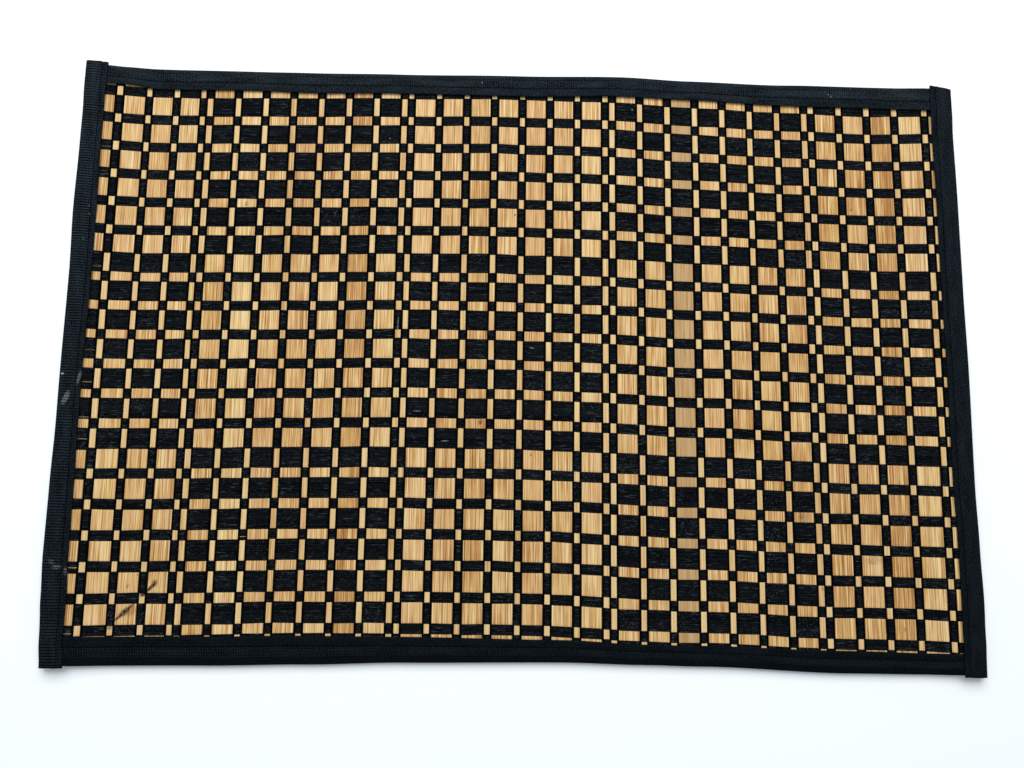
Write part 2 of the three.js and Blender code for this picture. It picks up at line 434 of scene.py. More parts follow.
def make_slats(weave, material):
    slats = slat_chart()
    places, bands = slat_stations()
    rods = Rods("bamboo_slats", len(slats), len(places), SLAT_SIDES)
    random = np.random.default_rng(SEED)
    left = np.array([slat[0] for slat in slats])
    right = np.array([slat[1] for slat in slats])
    wide = np.array([slat[2] for slat in slats])
    half_width = (right - left - in_mm(weave.slat_gap)) / 2
    half_width += random.uniform(-SLAT_WIDTH_STRAY, SLAT_WIDTH_STRAY, len(slats))
    half_thickness = in_mm(weave.slat_thickness) / 2
    bevel = in_mm(weave.slat_bevel)
    middle = (left + right) / 2 + random.uniform(-SLAT_PLACE_STRAY, SLAT_PLACE_STRAY, len(slats))
    bend = wander(random, len(slats), places, SLAT_BEND_LENGTH, SLAT_BEND)
    hand, inset, up = slat_section(half_thickness, bevel)
    lean = random.uniform(-SLAT_LEAN, SLAT_LEAN, len(slats))

    offset = hand[rods.side] * (half_width[rods.rod] - inset[rods.side])
    y = places[rods.ring]
    x = middle[rods.rod] + offset + bend[rods.rod, rods.ring]
    sway = np.where(thread_on_top(rods.rod, bands[rods.ring]), -SWAY, SWAY)
    z = PANEL_MIDDLE + sway + up[rods.side] + lean[rods.rod] * offset + climb(x)
    inside = np.abs(y) < places[0] - 1
    drift = band_drift(x, y) * inside
    x, y = lie_on_slat(x, y + drift)

    side_width = in_mm(weave.slat_thickness) - 2 * bevel
    girth = np.cumsum([0.0, side_width, bevel, SLAT_FACE, bevel, side_width, bevel, SLAT_FACE, bevel])
    own_strip = SLAT_STRIP * rods.loop_rod
    rods.lay(
        x, y, z, along=own_strip + girth[rods.loop_side], across=places[rods.loop_ring], smooth=False
    )
    tone = random.normal(0.5, 0.2, len(slats)) + np.where(wide, 0.0, NARROW_PALER)
    rods.give("tone", np.clip(tone, 0, 1)[rods.rod])
    rods.give("blush", random.uniform(0, 1, len(slats))[rods.rod] ** 2)
    rods.give("streaks", random.uniform(0.0, 0.7, len(slats))[rods.rod])
    rods.give("khaki", (rods.rod == KHAKI_SLAT).astype(float))
    # Painted shade: marks the slats' upright sides, which the material draws near black as the shade in
    # the gaps between slats
    rods.give("shaded_side", (inset == 0).astype(float)[rods.side])
    return add_piece(rods.mesh, material, "bamboo", "woven_panel")


# Threads

THREAD_SIDES = 4
THREAD_REACH = 144.9  # the outermost threads lie under the long tapes
THREAD_MAP_STEP = 13.7  # how far apart two threads lie on their grain's map
BAND_WAVE = (47, 0.16)  # how long and high the waves are in which a whole band sways
THREAD_WAVE = (19, 0.05)  # in which each thread sways
LIFT_WAVE = (7, 0.03)  # and in which it rises and falls
THREAD_WIDTHS = (0.88, 1.1)  # the narrowest and the widest thread, as shares of the usual width
FIRST_SLAT_GAPS = (0.45, 0.3, 0.6)  # how often two threads stand apart, and how far at least and at most
OTHER_GAPS = (0.012, 0.15, 0.35)


def thread_stations(band, weave):
    """Where a band's threads turn: places along the mat, how high on the slat, and which slat."""
    half_gap = in_mm(weave.slat_gap) / 2
    level = (in_mm(weave.slat_thickness) + in_mm(weave.thread_height)) / 2 - SWAY
    places = []
    heights = []
    slats = []
    for slat, (left, right, _) in enumerate(slat_chart()):
        start = left + half_gap
        end = right - half_gap
        if thread_on_top(slat, band):
            places += [start, start + SHOULDER, end - SHOULDER, end]
            heights += [level - SHOULDER_DROP, level, level, level - SHOULDER_DROP]
            slats += [slat] * 4
        else:
            # Two more on the first slat give every band the same number of places
            extra = [start + SHOULDER, end - SHOULDER] if slat == 0 else []
            places += [start, *extra, end]
            heights += [-level] * (2 + len(extra))
            slats += [slat] * (2 + len(extra))
    return np.array(places), np.array(heights), np.array(slats)


def hold_inside(rows, limit):
    """Squeezes a band together at the places where it would reach past the limit on either side."""
    near = rows.min(axis=0)
    far = rows.max(axis=0)
    new_near = np.maximum(near, -limit)
    new_far = np.minimum(far, limit)
    return new_near + (rows - near) * (new_far - new_near) / (far - near)


def open_gaps(random, slats, band, count):
    """Here and there two threads stand apart, most often at the first slat, so that bamboo shows."""
    slide = np.zeros((count, len(slats)))
    for slat in range(len(slat_chart())):
        chance, least, most = FIRST_SLAT_GAPS if slat == 0 else OTHER_GAPS
        if not thread_on_top(slat, band) or random.random() > chance:
            continue
        split = random.integers(count // 2, count)
        width = random.uniform(least, most)
        here = slats == slat
        lower = np.arange(count) >= split
        slide[np.ix_(lower, here)] -= width
    return slide


def band_of_threads(random, band, weave):
    """The places of one band's threads, where they dive between slats, and each thread's tone."""
    far, near, tall = band_chart()[band]
    count = weave.tall_threads if tall else weave.short_threads
    places, heights, slats = thread_stations(band, weave)
    over = heights > 0
    if tall:
        spread = np.where(over, TALL_OVER, TALL_UNDER)
    else:
        spread = np.where(over, SHORT_OVER, SHORT_UNDER)
    fraction = (np.arange(count) + 0.5) / count - 0.5
    inner = (spread - in_mm(weave.thread_width)) / spread * count / (count - 1)
    y = (far + near) / 2 - fraction[:, None] * (spread * inner)[None, :]
    y += wander(random, 1, places, *BAND_WAVE)
    y += wander(random, count, places, *THREAD_WAVE)
    y += open_gaps(random, slats, band, count)
    lift = wander(random, count, places, *LIFT_WAVE)
    y = hold_inside(y + band_drift(places, (far + near) / 2), THREAD_REACH)
    x = np.broadcast_to(places, y.shape)
    z = PANEL_MIDDLE + heights + lift + climb(places)
    dive = np.broadcast_to(np.where(heights == heights.max(), 0.0, 1.0), y.shape)
    return x, y, z, dive, random.uniform(0, 1, count)


def make_threads(weave, material):
    pieces = []
    per_block = len(BAND_BLOCK)
    random = np.random.default_rng(SEED + 1)
    for block, name in enumerate(("threads_far", "threads_middle", "threads_near")):
        bands = range(block * per_block, (block + 1) * per_block)
        columns = zip(*(band_of_threads(random, band, weave) for band in bands))
        x, y, z, dive, tone = (np.concatenate(column) for column in columns)
        rods = Rods(name, len(x), x.shape[1], THREAD_SIDES)
        half_width = in_mm(weave.thread_width) / 2 * random.uniform(*THREAD_WIDTHS, len(x))
        half_height = in_mm(weave.thread_height) / 2
        turn = rods.side * 2 * math.pi / THREAD_SIDES
        own_x = x[rods.rod, rods.ring]
        own_y = y[rods.rod, rods.ring] + half_width[rods.rod] * np.cos(turn)
        own_z = z[rods.rod, rods.ring] + half_height * np.sin(turn)
        own_x, own_y = lie_on_slat(own_x, own_y)
        along = x[rods.loop_rod, rods.loop_ring] + THREAD_MAP_STEP * rods.loop_rod
        rods.lay(own_x, own_y, own_z, along=along, across=rods.loop_side * 0.4 + rods.loop_rod)
        rods.give("tone", tone[rods.rod])
        rods.give("dive", dive[rods.rod, rods.ring])
        pieces.append(add_piece(rods.mesh, material, "black_thread"))
    return pieces


# Tapes

STITCH_SINK = 0.16
STITCH_DENT = 0.06  # how far beside the stitches the lower leaf is dented, as a share of the leaf

# The stitch line's place on each leaf, from 0 at the fold to 1 at its edge
STITCH_OUT = {"top": 0.57, "bottom": 0.6, "left": 0.72, "right": 0.72}

# The crease along each long tape, from when it was pressed flat
CREASE_OUT = {"top": 0.12, "bottom": 0.17}
CREASE_SINK = 0.1
CREASE_HALF_WIDTH = 0.03

# The upper leaf's own relief: its place, from 0 at the fold over 1 at the stitches to 2 at the leaf's
# edge, and how far it stands above the plain leaf
LEAF_RELIEF = (
    (0.0, 0.0), (0.15, 0.1), (0.37, 0.2), (0.62, 0.16), (0.85, 0.06), (0.94, -0.04), (1.0, -STITCH_SINK),
    (1.12, -0.04), (1.37, 0.08), (1.68, 0.08), (1.9, 0.02), (2.0, -0.08),
)

# How the upper leaf swells: the slow and the quick waves along it, and how high it stands between the
# fold and the stitches and at its edge
SLOW_WAVES = (11.3, 5.1)
QUICK_WAVES = (2.3, 1.37)
BODY_SWELL = 0.07
EDGE_SWELL = 0.05

TAPE_STEP = 1.3
RAGGED_END = (-0.25, 0.1)  # how far a tape's cut end falls short and stands out
LEAF_MAP = 9.5  # how far a leaf reaches on the tape's map

STITCH_RINGS = 5
STITCH_SIDES = 5
STITCH_MARGIN = 4  # from a tape's end to its first stitch
CORNER_MARGIN = 9  # and further on the long tapes, which end under the side tapes
STITCH_STRAY = 0.12
STITCH_SLANT = (-0.015, 0.03)


def leaf_relief(edge):
    """Places on the upper leaf, from 0 at the fold to 1 at its edge, and its relief there."""
    part, rise = np.array(LEAF_RELIEF).T
    stitch = STITCH_OUT[edge]
    out = np.where(part < 1, part * stitch, stitch + (part - 1) * (1 - stitch))
    if edge in CREASE_OUT:
        crease = CREASE_OUT[edge] + CREASE_HALF_WIDTH * np.array([-1, 0, 1])
        sunk = np.interp(crease, out, rise) - CREASE_SINK * np.array([0, 1, 0])
        out = np.concatenate((out, crease))
        rise = np.concatenate((rise, sunk))
    order = np.argsort(out)
    return out[order], rise[order]


def tape_section(edge):
    """The tape's cut end as one loop: the angle round the fold, the place on the leaf beyond it, and how
    deep under the outer face each point lies."""
    leaf = leaf_relief(edge)[0]
    stitch = STITCH_OUT[edge]
    under = (0.0, 0.3, stitch - STITCH_DENT, stitch, stitch + STITCH_DENT, 1.0)

    # The outer face, from the upper leaf's edge round the fold to the lower leaf's edge
    points = [(90, out, 0.0) for out in reversed(leaf)]
    points += [(angle, 0.0, 0.0) for angle in range(72, -89, -18)]
    points += [(-90, out, 0.0) for out in under]

    # The inner face, back the same way
    points += [(-90, out, TAPE_THICKNESS) for out in (1.0, 0.62, 0.3, 0.0)]
    points += [(angle, 0.0, TAPE_THICKNESS) for angle in range(-60, 61, 30)]
    points += [(90, out, TAPE_THICKNESS) for out in (0.0, 0.3, 0.58, 0.8, 1.0)]
    angle, out, depth = (np.array(column, dtype=float) for column in zip(*points))
    return np.radians(angle), out, depth


def place_on_tape(edge, along, turn, out, rise):
    """Where points of a folded tape lie: turn is the angle round the fold, out the place on the leaf
    beyond it, and rise how far they stand above the tape's outer face."""
    side = SIDES[edge]
    radius = FOLD_RADIUS + rise
    leaf = along_edge(edge, LEAF, along)
    inward = FOLD_RADIUS - radius * np.cos(turn) + out * (leaf - FOLD_RADIUS)
    height = FOLD_RADIUS + radius * np.sin(turn)
    if edge in LONG_EDGES:
        x, y = lie_uneven(along, side * (DEPTH / 2 - inward))
        return x, y, height + climb(along)
    x, y = lie_uneven(side * (WIDTH / 2 - inward), along)
    upper = np.clip((height - TAPE_THICKNESS) / (TAPE_HEIGHT - 2 * TAPE_THICKNESS), 0, 1)
    opening = LAYER * up_ramp(along, OPENING)
    return x, y, height + LAYER + opening * (2 * upper - 1)


def tape_stations(edge):
    """Places along a tape, in the order that keeps its outer face outwards."""
    if edge in LONG_EDGES:
        end = WIDTH / 2 - LONG_TAPE_END
        order = -SIDES[edge]
    else:
        end = DEPTH / 2 + SIDE_TAPE_PROUD
        order = SIDES[edge]
    steps = round(2 * end / TAPE_STEP)
    return order * np.linspace(-end, end, steps + 1)


def leaf_swell(edge):
    """How the upper leaf swells along the tape, as a function of the places along it."""
    random = np.random.default_rng(SEED + 10 + list(SIDES).index(edge))
    phases = random.uniform(0, 2 * math.pi, 4)

    def swell(along, out):
        slow = np.sin(along / SLOW_WAVES[0] + phases[0]) + 0.7 * np.sin(along / SLOW_WAVES[1] + phases[1])
        quick = np.sin(along / QUICK_WAVES[0] + phases[2])
        quick += 0.6 * np.sin(along / QUICK_WAVES[1] + phases[3])
        body = np.sin(math.pi * np.clip(out / STITCH_OUT[edge], 0, 1))
        edge_part = np.clip((out - STITCH_OUT[edge]) / (1 - STITCH_OUT[edge]), 0, 1)
        return body * (BODY_SWELL * slow + BODY_SWELL) + edge_part * (EDGE_SWELL * quick + EDGE_SWELL)

    return swell


def make_tape(edge, material):
    stations = tape_stations(edge)
    turn, out, depth = tape_section(edge)
    rods = Rods("tape_" + edge, 1, len(stations), len(turn))
    random = np.random.default_rng(SEED + 20 + list(SIDES).index(edge))
    ragged = random.uniform(*RAGGED_END, len(turn))
    at_end = (rods.ring == 0) | (rods.ring == len(stations) - 1)
    along = stations[rods.ring]
    along = along + np.where(at_end, ragged[rods.side] * np.sign(along), 0)
    upper = np.sin(turn) > 0.999
    lower = np.sin(turn) < -0.999
    relief = np.interp(out, *leaf_relief(edge))
    outer = depth == 0
    stitched = out == STITCH_OUT[edge]
    shape = np.where(upper & outer, relief, 0) - np.where(lower & outer & stitched, STITCH_SINK, 0)
    swell = leaf_swell(edge)(along, out[rods.side]) * upper[rods.side]
    rise = shape[rods.side] - depth[rods.side] + swell
    x, y, z = place_on_tape(edge, along, turn[rods.side], out[rods.side], rise)
    girth = FOLD_RADIUS * turn + np.sign(turn) * out * LEAF_MAP
    girth = np.append(girth, girth[0])
    rods.lay(x, y, z, along=stations[rods.loop_ring], across=girth[rods.loop_side])
    turn_outwards(rods.mesh)
    return add_piece(rods.mesh, material, "black_tape", "binding_" + edge)


def make_stitches(edge, tape, material):
    """A row of stitches along the upper leaf, and the same row on the lower one."""
    pitch = in_mm(tape.stitch_pitch)
    reach = abs(tape_stations(edge)[0]) - STITCH_MARGIN
    if edge in LONG_EDGES:
        reach -= CORNER_MARGIN
    count = int(2 * reach / pitch)
    rods = Rods("stitches_" + edge, 2 * count, STITCH_RINGS, STITCH_SIDES)
    random = np.random.default_rng(SEED + 30 + list(SIDES).index(edge))
    middle = np.linspace(-reach, reach, count)
    middle = np.tile(middle, 2) + random.uniform(-STITCH_STRAY, STITCH_STRAY, 2 * count)
    lower = np.repeat((False, True), count)
    slant = random.uniform(*STITCH_SLANT, 2 * count)
    step = rods.ring / (STITCH_RINGS - 1) * 2 - 1
    along = middle[rods.rod] + step * in_mm(tape.stitch_length) / 2
    radius = in_mm(tape.stitch_thickness) / 2
    around = rods.side * 2 * math.pi / STITCH_SIDES
    out = STITCH_OUT[edge] + slant[rods.rod] * step + np.cos(around) * radius / LEAF_MAP
    dive = STITCH_SINK + radius * 1.1 * step ** 4 + np.where(lower[rods.rod], radius * 0.4, -radius * 0.5)
    turn = np.where(lower[rods.rod], -math.pi / 2, math.pi / 2)
    rise = -dive + np.sin(around) * radius
    x, y, z = place_on_tape(edge, along, turn, out, rise)
    rods.lay(x, y, z, along=along[0] + rods.loop_ring * 0.6, across=rods.loop_side * 0.2)
    turn_outwards(rods.mesh)
    return add_piece(rods.mesh, material, "black_thread")


# Materials

CROSS_PITCH = 1.1  # from one to the next of the threads that run along a tape, over its ribs
MARK_FLOOR = 1.8  # marks lie only on what is higher than this, so the underside has none

# Marks that wear and chance have left: the kind, its place, how long and wide it is, the turn of its
# length from the mat's own, and its strength
MARKS = (
    ("soot", -187.6, -124.6, 16.5, 2.0, 43, 1.0),
    ("soot", -187.2, -124.2, 9.5, 3.5, 43, 0.85),
    ("soot", -179.1, -115.8, 4.0, 3.0, 40, 1.0),
    ("soot", -175.6, -112.7, 9.5, 2.2, 46, 1.0),
    ("soot", -174.0, -110.9, 3.6, 2.8, 80, 0.75),
    ("soot", -193.5, -131.2, 3.4, 3.2, 0, 0.6),
    ("stain", -184.2, -123.4, 8.0, 5.5, 45, 0.55),
    ("stain", -174.3, -110.6, 4.8, 3.4, 80, 0.6),
    ("knot", -47.5, 119.1, 2.4, 1.2, 90, 0.7),
    ("knot", -5.5, 74.8, 1.8, 1.2, 90, 0.9),
    ("knot", 169.0, 82.1, 1.8, 1.3, 90, 0.9),
    ("knot", 4.1, -47.3, 2.2, 1.1, 80, 0.8),
    ("knot", 138.8, -75.6, 8.5, 6.0, 90, 0.55),
    ("knot", 138.8, -75.6, 4.0, 3.0, 90, 0.75),
    ("knot", 172.5, -97.5, 1.8, 1.2, 90, 0.7),
    ("knot", 173.3, -96.2, 10.0, 5.6, 5, 0.4),
    ("knot", 187.5, -129.0, 3.6, 1.8, 85, 0.4),
    ("knot", 147.4, -110.1, 2.6, 1.7, 90, 0.6),
    ("knot", -141.4, 77.1, 3.4, 1.9, 85, 0.85),
    ("knot", -21.1, -31.5, 3.6, 3.2, 90, 0.6),
    ("knot", -21.1, -31.5, 2.6, 2.3, 90, 1.0),
    ("knot", -26.2, -4.1, 1.3, 1.1, 90, 0.9),
    ("knot", -7.6, -17.8, 4.4, 3.4, 90, 0.3),
    ("knot", -186.5, -112.2, 3.0, 1.4, 65, 0.6),
    ("knot", -182.3, -106.9, 1.8, 1.3, 90, 0.45),
    ("dust", -224.3, -11.5, 1.8, 1.6, 0, 1.0),
    ("dust", -221.8, -23.2, 9.0, 3.2, 68, 0.45),
    ("dust", -219.4, -103.5, 5.2, 2.4, 5, 0.28),
    ("dust", -222.0, -101.0, 4.6, 3.0, -35, 0.12),
    ("dust", -216.3, -13.3, 8.5, 2.0, 79, 0.35),
    ("dust", -215.1, -105.2, 4.6, 1.7, 97, 0.28),
    ("dust", -218.3, 73.3, 1.4, 0.9, 90, 0.35),
    ("dust", -217.9, 69.2, 1.4, 0.9, 90, 0.3),
    ("dust", -220.0, 56.2, 1.6, 1.0, 90, 0.3),
    ("dust", -23.6, 145.0, 1.0, 0.8, 20, 0.6),
    ("dust", 54.9, 133.2, 1.2, 0.9, 0, 0.7),
    ("dust", -70.3, 113.6, 1.0, 0.8, 0, 0.6),
    ("dust", -63.1, 16.4, 10.5, 0.8, 88, 0.4),
    ("dust", 4.0, 6.1, 3.2, 0.8, -8, 0.5),
    ("dust", -52.4, -26.5, 4.6, 0.7, 0, 0.5),
    ("dust", -38.3, -41.1, 4.6, 0.7, 2, 0.5),
    ("dust", 156.9, 145.9, 0.9, 0.8, 0, 0.4),
    ("dust", 158.4, 144.3, 1.0, 0.8, 0, 0.5),
    ("dust", 160.0, 143.2, 1.3, 1.1, 30, 0.9),
    ("dust", 131.2, 125.8, 1.2, 0.9, 0, 0.5),
)


def add(tree, kind, *values, output=0, inputs=None, **settings):
    """Adds a node with its settings and links, and returns the output that other nodes read.

    Values feed its inputs in order, and inputs feed those that they name. What comes from another node
    is linked, and anything else is set.
    """
    node = tree.nodes.new("ShaderNode" + kind)
    for name, value in settings.items():
        setattr(node, name, value)
    for name, value in (*enumerate(values), *(inputs or {}).items()):
        if isinstance(value, bpy.types.NodeSocket):
            tree.links.new(value, node.inputs[name])
        else:
            node.inputs[name].default_value = value
    return node.outputs[output] if len(node.outputs) else None


def new_material(name):
    material = bpy.data.materials.new(name)
    material.use_nodes = True
    tree = material.node_tree
    tree.nodes.clear()
    return material, tree


def solid(colour):
    return (*colour, 1.0)


def together(tree, *parts):
    """How much shows where several things each let only a part of it through."""
    share = parts[0]
    for part in parts[1:]:
        share = add(tree, "Math", share, part, operation="MULTIPLY")
    return share


def vary(tree, level, *grains):
    """A level that grains raise and lower about their middle, each by its own amount."""
    for grain, amount in grains:
        swing = add(tree, "Math", grain, 0.5, operation="SUBTRACT")
        level = add(tree, "Math", swing, amount, level, operation="MULTIPLY_ADD")
    return level


def lay_over(tree, colour, *layers):
    """Lays colours one over another, each with how much of it shows."""
    for part, upper in layers:
        inputs = {0: part, 6: colour, 7: solid(upper)}
        colour = add(tree, "Mix", output=2, inputs=inputs, data_type="RGBA")
    return colour


def grain_of(tree, place, size, detail=2.0, shift=(0, 0, 0)):
    """Noise whose lumps have a size in the units of the place."""
    scale = tuple(1 / side for side in size)
    spot = add(tree, "Mapping", inputs={"Vector": place, "Scale": scale, "Location": shift})
    return add(tree, "TexNoise", output="Fac", inputs={"Vector": spot, "Scale": 1.0, "Detail": detail})


def marks_of(tree, place, kind):
    """How strongly the marks of one kind cover a place."""
    cover = 0.0
    for own_kind, x, y, length, width, turn, strength in MARKS:
        if own_kind != kind:
            continue
        inputs = {
            "Vector": place,
            "Location": (x * MM, y * MM, 0),
            "Rotation": (0, 0, math.radians(turn)),
            "Scale": (length / 2 * MM, width / 2 * MM, 1),
        }
        spot = add(tree, "Mapping", inputs=inputs, vector_type="TEXTURE")
        far = add(tree, "VectorMath", spot, output="Value", operation="LENGTH")
        faded = add(tree, "MapRange", far, 0.5, 1.0, strength, 0.0)
        cover = add(tree, "Math", cover, faded, operation="MAXIMUM")
    height = add(tree, "SeparateXYZ", place, output="Z")
    above = add(tree, "MapRange", height, (MARK_FLOOR - 0.1) * MM, (MARK_FLOOR + 0.1) * MM)
    return together(tree, cover, above)


def painted_near_falloff(tree, place, near):
    """Painted shade on black cloth: its lit share is full at the mat's far edge and smaller towards its
    near one, where less light falls.
    """
    away = add(tree, "SeparateXYZ", place, output="Y")
    return add(tree, "MapRange", away, -DEPTH / 2 * MM, DEPTH / 2 * MM, near, 1.0)


def end_surface(tree, colour, relief, strength, depth, roughness, ior, shine):
    """Ends a material: its colour, a fine relief so many millimetres deep, and how it shines."""
    bump = add(tree, "Bump", inputs={"Height": relief, "Strength": strength, "Distance": depth * MM})
    inputs = {
        "Base Color": colour, "Roughness": roughness, "IOR": ior, "Specular IOR Level": shine,
        "Normal": bump,
    }
    shader = add(tree, "BsdfPrincipled", inputs=inputs)
    add(tree, "OutputMaterial", inputs={"Surface": shader})


def bamboo_material(finish):
    """Split bamboo, planed flat: pale tan with long fine fibres, darker streaks and a soft dull shine."""
    material, tree = new_material("split_bamboo")
    cloth = add(tree, "UVMap", uv_map="cloth")
    place = add(tree, "TexCoord", output="Object")
    tone, blush, streaks, khaki, shaded_side = (
        add(tree, "Attribute", output="Fac", attribute_name=name)
        for name in ("tone", "blush", "streaks", "khaki", "shaded_side")
    )

    # Fibre bundles, streaks, and slow clouds of tone, each with its width and length in millimetres. The
    # fibres are drawn a little coarser than real ones, so that they show.
    fibre = grain_of(tree, cloth, (0.5, 38, 1), detail=1.0)
    fine = grain_of(tree, cloth, (0.28, 22, 1), shift=(5, 3, 0))
    broad = grain_of(tree, cloth, (2.4, 60, 1), detail=1.0)
    cloud = grain_of(tree, cloth, (6, 11, 1))
    level = add(tree, "MapRange", tone, 0.0, 1.0, -0.24, 0.24)
    level = vary(tree, level, (fibre, 2.2), (fine, 2.0), (broad, 0.5), (cloud, 0.5))
    level = add(tree, "Math", level, 0.6, operation="ADD")
    stops = (
        (0.0, finish.bamboo_deep), (0.32, finish.bamboo_warm),
        (0.62, finish.bamboo_pale), (1.0, finish.bamboo_cream),
    )
    colour = add(tree, "ValToRGB", level)
    elements = colour.node.color_ramp.elements
    for position, _ in stops[1:-1]:
        elements.new(position)
    for element, (position, shade) in zip(elements, stops):
        element.position = position
        element.color = solid(shade)

    # Within a slat some strips are yellower and some pinker, some slats blush all over, and some have
    # thin dark lines all the way down
    strip = grain_of(tree, cloth, (1.0, 110, 1), detail=1.0, shift=(0, 31, 0))
    line = grain_of(tree, cloth, (0.7, 160, 1), detail=0.0, shift=(0, 9, 0))
    flush = add(tree, "MapRange", cloud, 0.4, 0.65, 0.1, 0.34)
    colour = lay_over(
        tree, colour,
        (add(tree, "MapRange", strip, 0.48, 0.3, 0.0, 0.45), finish.bamboo_straw),
        (add(tree, "MapRange", strip, 0.54, 0.7, 0.0, 0.4), finish.bamboo_blush),
        (together(tree, blush, flush), finish.bamboo_blush),
        (together(tree, add(tree, "MapRange", line, 0.42, 0.27), streaks), finish.bamboo_deep),
        (together(tree, khaki, 0.6), finish.bamboo_khaki),
    )

    # Knots, the sooty rub near one corner, and painted shade on the slats' sides, in the gaps between
    # slats
    speck = grain_of(tree, cloth, (0.8, 1.5, 1), detail=3.0)
    in_knot = add(tree, "MapRange", speck, 0.35, 0.6, 0.35, 1.0)
    in_stain = add(tree, "MapRange", fine, 0.3, 0.6, 0.6, 1.0)
    in_soot = add(tree, "MapRange", speck, 0.3, 0.6, 0.65, 1.0)
    colour = lay_over(
        tree, colour,
        (together(tree, marks_of(tree, place, "knot"), in_knot), finish.bamboo_knot),
        (together(tree, marks_of(tree, place, "stain"), in_stain), finish.bamboo_deep),
        (together(tree, marks_of(tree, place, "soot"), in_soot), finish.soot),
        (add(tree, "MapRange", shaded_side, 0.35, 1.0), finish.slat_side_shade),
    )
    end_surface(tree, colour, fibre, 0.5, depth=0.12, roughness=0.55, ior=1.5, shine=0.15)
    return material


def thread_material(finish, name, fuzziness):
    """Dyed cotton thread, twisted: a matt blue-black with fine loose fibres that catch the light."""
    material, tree = new_material(name)
    cloth = add(tree, "UVMap", uv_map="cloth")
    place = add(tree, "TexCoord", output="Object")
    tone, dive = (
        add(tree, "Attribute", output="Fac", attribute_name=attribute) for attribute in ("tone", "dive")
    )
    twist = grain_of(tree, cloth, (0.9, 0.5, 1), detail=3.0)
    level = add(tree, "Math", tone, 0.3, twist, operation="MULTIPLY_ADD")
    # The lit share: the thread's tone and twist, with painted shade where it dives between slats and
    # painted shade towards the mat's near edge
    lit = together(
        tree,
        add(tree, "MapRange", level, 0.42, 0.95, 0.0, 1.25),
        add(tree, "MapRange", dive, 0.0, 1.0, 1.0, 0.1),
        painted_near_falloff(tree, place, 0.7),
    )

    # Loose fibres catch the light as short grey lines along the threads and, in clouds, as specks. Their
    # sizes are in metres, as the place is.
    fuzz = grain_of(tree, place, (0.0009, 0.0009, 0.0009), detail=1.0)
    fuzzy = grain_of(tree, place, (0.022, 0.022, 0.022), detail=1.0)
    stray = grain_of(tree, place, (0.0042, 0.0007, 0.0007), detail=1.0)
    clouds = add(tree, "MapRange", fuzzy, 0.5, 0.7, 0.06, 0.26)
    speck = together(tree, add(tree, "MapRange", fuzz, 0.58, 0.74), clouds)
    on_top = add(tree, "Math", 1.0, dive, operation="SUBTRACT")
    line = together(tree, add(tree, "MapRange", stray, 0.6, 0.75, 0.0, 0.2), on_top)
    loose = add(tree, "Math", speck, line, operation="MAXIMUM")
    in_lint = add(tree, "MapRange", fuzz, 0.35, 0.55, 0.4, 1.0)
    colour = lay_over(
        tree, solid(finish.thread_deep),
        (lit, finish.thread_lit),
        (together(tree, loose, fuzziness), finish.thread_lint),
        (together(tree, marks_of(tree, place, "dust"), in_lint), finish.dust),
    )
    end_surface(tree, colour, twist, 0.6, depth=0.1, roughness=0.8, ior=1.45, shine=0.02)
    return material


def on_leaf(out):
    """A place on the upper leaf as the tape's map counts it."""
    return FOLD_RADIUS * math.pi / 2 + out * LEAF_MAP


def painted_groove_shade(tree, across, out, dark):
    """Painted shade in a groove along the tape: how light the tape is near the line, darkest on it."""
    beside = add(tree, "Math", across, on_leaf(out), operation="SUBTRACT")
    far = add(tree, "Math", beside, operation="ABSOLUTE")
    return add(tree, "MapRange", far, 0.1, 0.45, dark, 1.0)


